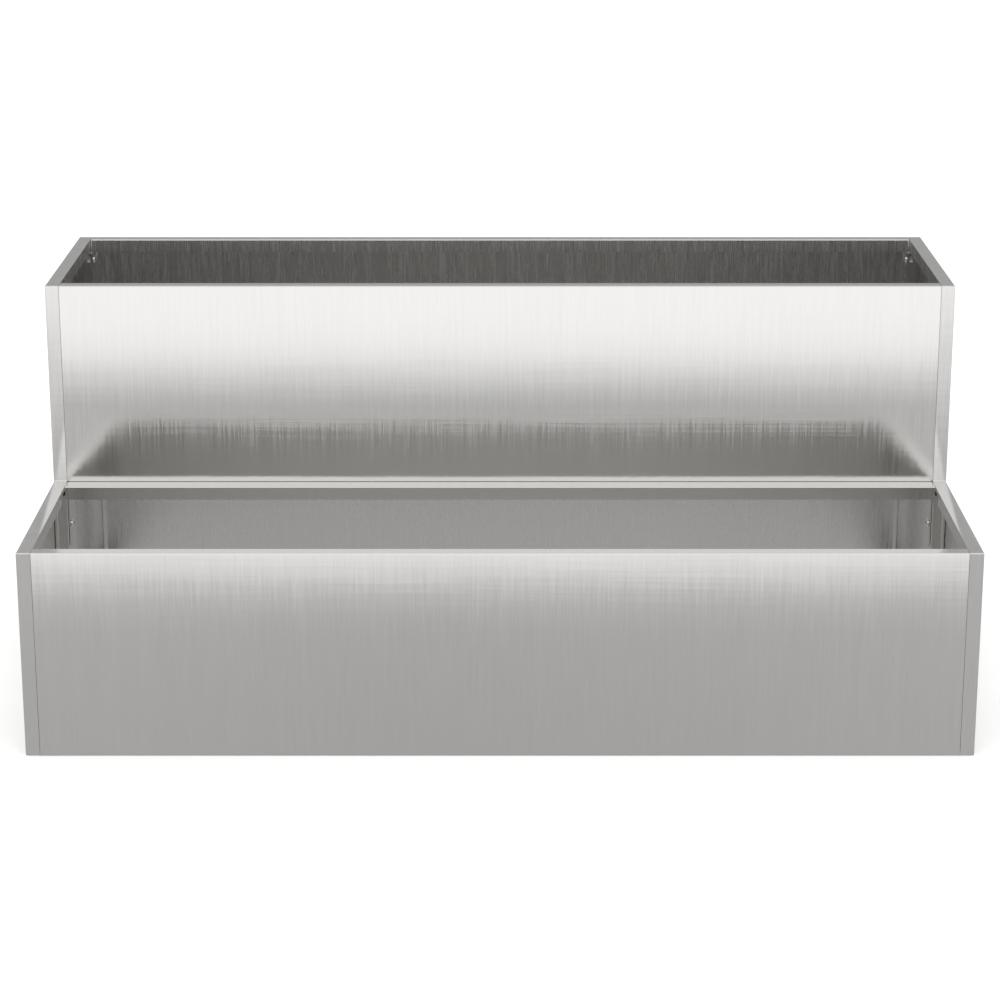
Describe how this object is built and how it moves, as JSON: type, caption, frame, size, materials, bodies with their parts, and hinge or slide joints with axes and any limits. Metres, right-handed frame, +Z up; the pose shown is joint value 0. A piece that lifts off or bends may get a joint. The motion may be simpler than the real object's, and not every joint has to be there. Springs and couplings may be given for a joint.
{
  "type": "two-tier planter",
  "caption": "Long stepped planter in folded, brushed stainless sheet: a low front bed and a tall rear bed that share one interior, open above and below.",
  "frame": {"origin": "on the ground, in the middle of the footprint", "axes": "+X along the length, -Y towards the low front tier, +Y towards the tall rear tier, +Z up"},
  "size_m": [1, 0.5, 0.45],
  "materials": {
    "brushed_sheet": "vertical brushed grain, satin",
    "fastener": "plain turned stainless"
  },
  "bodies": {
    "root": {"back_panel": "brushed_sheet", "front_panel": "brushed_sheet", "left_back_1_nut": "fastener", "left_back_1_screw": "fastener", "left_back_2_nut": "fastener", "left_back_2_screw": "fastener", "left_back_3_nut": "fastener", "left_back_3_screw": "fastener", "left_centre_post": "brushed_sheet", "left_front_1_nut": "fastener", "left_front_1_screw": "fastener", "left_front_2_nut": "fastener", "left_front_2_screw": "fastener", "left_rail_1_nut": "fastener", "left_rail_1_screw": "fastener", "left_riser_1_nut": "fastener", "left_riser_1_screw": "fastener", "left_riser_2_nut": "fastener", "left_riser_2_screw": "fastener", "left_side_panel": "brushed_sheet", "right_back_1_nut": "fastener", "right_back_1_screw": "fastener", "right_back_2_nut": "fastener", "right_back_2_screw": "fastener", "right_back_3_nut": "fastener", "right_back_3_screw": "fastener", "right_centre_post": "brushed_sheet", "right_front_1_nut": "fastener", "right_front_1_screw": "fastener", "right_front_2_nut": "fastener", "right_front_2_screw": "fastener", "right_rail_1_nut": "fastener", "right_rail_1_screw": "fastener", "right_riser_1_nut": "fastener", "right_riser_1_screw": "fastener", "right_riser_2_nut": "fastener", "right_riser_2_screw": "fastener", "right_side_panel": "brushed_sheet", "riser_panel": "brushed_sheet", "step_1_nut": "fastener", "step_1_screw": "fastener", "step_2_nut": "fastener", "step_2_screw": "fastener", "step_3_nut": "fastener", "step_3_screw": "fastener", "step_rail": "brushed_sheet"}
  },
  "joints": []
}
